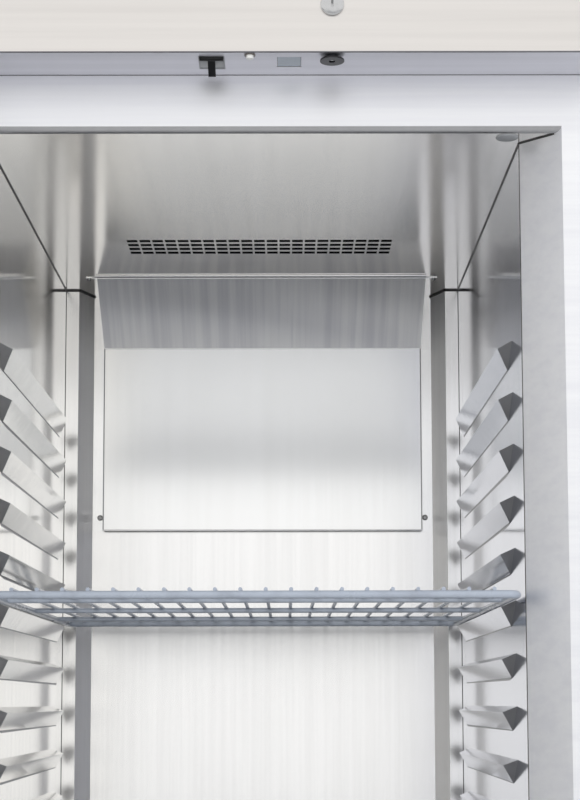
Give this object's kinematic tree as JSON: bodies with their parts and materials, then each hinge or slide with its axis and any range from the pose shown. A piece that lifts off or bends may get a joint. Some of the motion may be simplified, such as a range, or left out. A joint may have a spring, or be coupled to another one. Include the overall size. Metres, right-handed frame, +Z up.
{
  "type": "fish refrigerator",
  "caption": "Upright stainless steel fish refrigerator with an open solid door, wire shelves on pressed runners, a ceiling air grille and the cooling unit on top.",
  "frame": {"origin": "on the floor, in the middle of the cabinet body, between the four feet", "axes": "+X to the right seen from the front, +Y from the front to the back, +Z up"},
  "size_m": [0.9209, 1.5178, 2.05],
  "materials": {
    "casing_steel": "satin",
    "liner_steel": "polished",
    "galvanised": "matte",
    "foam": "matte",
    "grey_plastic": "matte",
    "black_plastic": "satin",
    "white_plastic": "gloss",
    "brown_plastic": "satin",
    "lens": "satin",
    "lock_steel": "satin",
    "fastener_steel": "satin",
    "shelf_coating": "satin",
    "gasket": "matte",
    "fins": "satin",
    "copper": "satin",
    "compressor_paint": "satin",
    "fan_plastic": "matte",
    "motor_metal": "satin",
    "foot_steel": "satin"
  },
  "bodies": {
    "cabinet": {"outer_side_left": "casing_steel", "outer_side_right": "casing_steel", "outer_back": "galvanised", "outer_base": "galvanised", "roof_panel": "galvanised", "body_insulation": "foam", "inner_wall_left": "liner_steel", "inner_wall_right": "liner_steel", "inner_back_wall": "liner_steel", "inner_ceiling": "liner_steel", "inner_floor": "liner_steel", "front_frame": "liner_steel", "ceiling_plug": "grey_plastic", "air_duct_cover": "liner_steel", "cover_screws": "fastener_steel", "evaporator_hood": "grey_plastic", "evaporator_coil": "fins", "drip_tray": "galvanised", "fan_bulkhead": "galvanised", "evaporator_fan_motor": "motor_metal", "compressor": "compressor_paint", "condenser_coil": "fins", "condenser_shroud": "galvanised", "condenser_fan_motor": "motor_metal", "unit_base": "galvanised", "condensate_pan": "galvanised", "refrigerant_pipes": "copper", "fascia_panel": "casing_steel", "controller": "black_plastic", "main_switch_frame": "black_plastic", "door_switch_housing": "grey_plastic", "light_button_collar": "brown_plastic", "lamp_lens": "lens", "lock_bolt_guide": "lock_steel", "hinge_brackets": "fastener_steel", "cable_gland": "black_plastic", "foot_sleeves": "foot_steel"},
    "door": {"door_skin": "casing_steel", "door_liner": "liner_steel", "door_insulation": "foam", "door_gasket": "gasket", "door_handle": "fastener_steel", "hinge_bushes": "white_plastic"},
    "shelf_upper": {"shelf_upper": "shelf_coating"},
    "shelf_middle": {"shelf_middle": "shelf_coating"},
    "shelf_lower": {"shelf_lower": "shelf_coating"},
    "foot_front_left": {"foot_front_left": "foot_steel"},
    "foot_front_right": {"foot_front_right": "foot_steel"},
    "foot_rear_left": {"foot_rear_left": "foot_steel"},
    "foot_rear_right": {"foot_rear_right": "foot_steel"},
    "door_switch_lever": {"door_switch_lever": "black_plastic"},
    "light_button": {"light_button": "white_plastic"},
    "key_set": {"key_set": "grey_plastic"},
    "key_down": {"key_down": "grey_plastic"},
    "key_up": {"key_up": "grey_plastic"},
    "main_switch_rocker": {"main_switch_rocker": "black_plastic"},
    "lock_bolt": {"lock_bolt": "fastener_steel"},
    "lock_barrel": {"lock_barrel": "fastener_steel"},
    "evaporator_fan": {"evaporator_fan": "fan_plastic"},
    "condenser_fan": {"condenser_fan": "fan_plastic"}
  },
  "joints": [
    {"name": "door_hinge", "type": "hinge", "parent": "cabinet", "child": "door", "pos_m": [-0.334, -0.44, 0.9], "axis": [0, 0, -1], "range_deg": [-105, 0]},
    {"name": "shelf_upper_slide", "type": "slide", "parent": "cabinet", "child": "shelf_upper", "axis": [0, -1, 0], "range_m": [-0.031, 0.4]},
    {"name": "shelf_middle_slide", "type": "slide", "parent": "cabinet", "child": "shelf_middle", "axis": [0, -1, 0], "range_m": [0, 0.43]},
    {"name": "shelf_lower_slide", "type": "slide", "parent": "cabinet", "child": "shelf_lower", "axis": [0, -1, 0], "range_m": [0, 0.43]},
    {"name": "door_switch_hinge", "type": "hinge", "parent": "cabinet", "child": "door_switch_lever", "pos_m": [-0.04, -0.4431, 1.7192], "axis": [1, 0, 0], "range_deg": [0, 18]},
    {"name": "light_button_slide", "type": "slide", "parent": "cabinet", "child": "light_button", "axis": [0, 0, 1], "range_m": [0, 0.003], "stiffness_N_per_m": 40, "springref_m": -0.0004},
    {"name": "key_set_slide", "type": "slide", "parent": "cabinet", "child": "key_set", "axis": [0, 1, 0], "range_m": [0, 0.0008], "stiffness_N_per_m": 20, "springref_m": -0.0001},
    {"name": "key_down_slide", "type": "slide", "parent": "cabinet", "child": "key_down", "axis": [0, 1, 0], "range_m": [0, 0.0008], "stiffness_N_per_m": 20, "springref_m": -0.0001},
    {"name": "key_up_slide", "type": "slide", "parent": "cabinet", "child": "key_up", "axis": [0, 1, 0], "range_m": [0, 0.0008], "stiffness_N_per_m": 20, "springref_m": -0.0001},
    {"name": "main_switch_tilt", "type": "hinge", "parent": "cabinet", "child": "main_switch_rocker", "pos_m": [0.255, -0.4574, 1.9087], "axis": [-1, 0, 0], "range_deg": [0, 16]},
    {"name": "lock_barrel_turn", "type": "hinge", "parent": "cabinet", "child": "lock_barrel", "pos_m": [0.0784, -0.4584, 1.7667], "axis": [0, 1, 0], "range_deg": [0, 90]},
    {"name": "lock_bolt_slide", "type": "slide", "parent": "cabinet", "child": "lock_bolt", "axis": [0, 0, -1], "range_m": [0, 0.01]},
    {"name": "evaporator_fan_spin", "type": "hinge", "parent": "cabinet", "child": "evaporator_fan", "pos_m": [0, 0.125, 1.828], "axis": [0, 1, 0], "continuous": true},
    {"name": "condenser_fan_spin", "type": "hinge", "parent": "cabinet", "child": "condenser_fan", "pos_m": [0.155, -0.235, 1.852], "axis": [0, 1, 0], "continuous": true},
    {"name": "foot_front_left_screw", "type": "slide", "parent": "cabinet", "child": "foot_front_left", "axis": [0, 0, -1], "range_m": [0, 0.045]},
    {"name": "foot_front_right_screw", "type": "slide", "parent": "cabinet", "child": "foot_front_right", "axis": [0, 0, -1], "range_m": [0, 0.045]},
    {"name": "foot_rear_left_screw", "type": "slide", "parent": "cabinet", "child": "foot_rear_left", "axis": [0, 0, -1], "range_m": [0, 0.045]},
    {"name": "foot_rear_right_screw", "type": "slide", "parent": "cabinet", "child": "foot_rear_right", "axis": [0, 0, -1], "range_m": [0, 0.045]}
  ],
  "couplings": [
    {"joint": "door_switch_hinge", "follows": "door_hinge", "ratio": -0.17143},
    {"joint": "lock_barrel_turn", "follows": "lock_bolt_slide", "rad_per_m": 157.08}
  ]
}
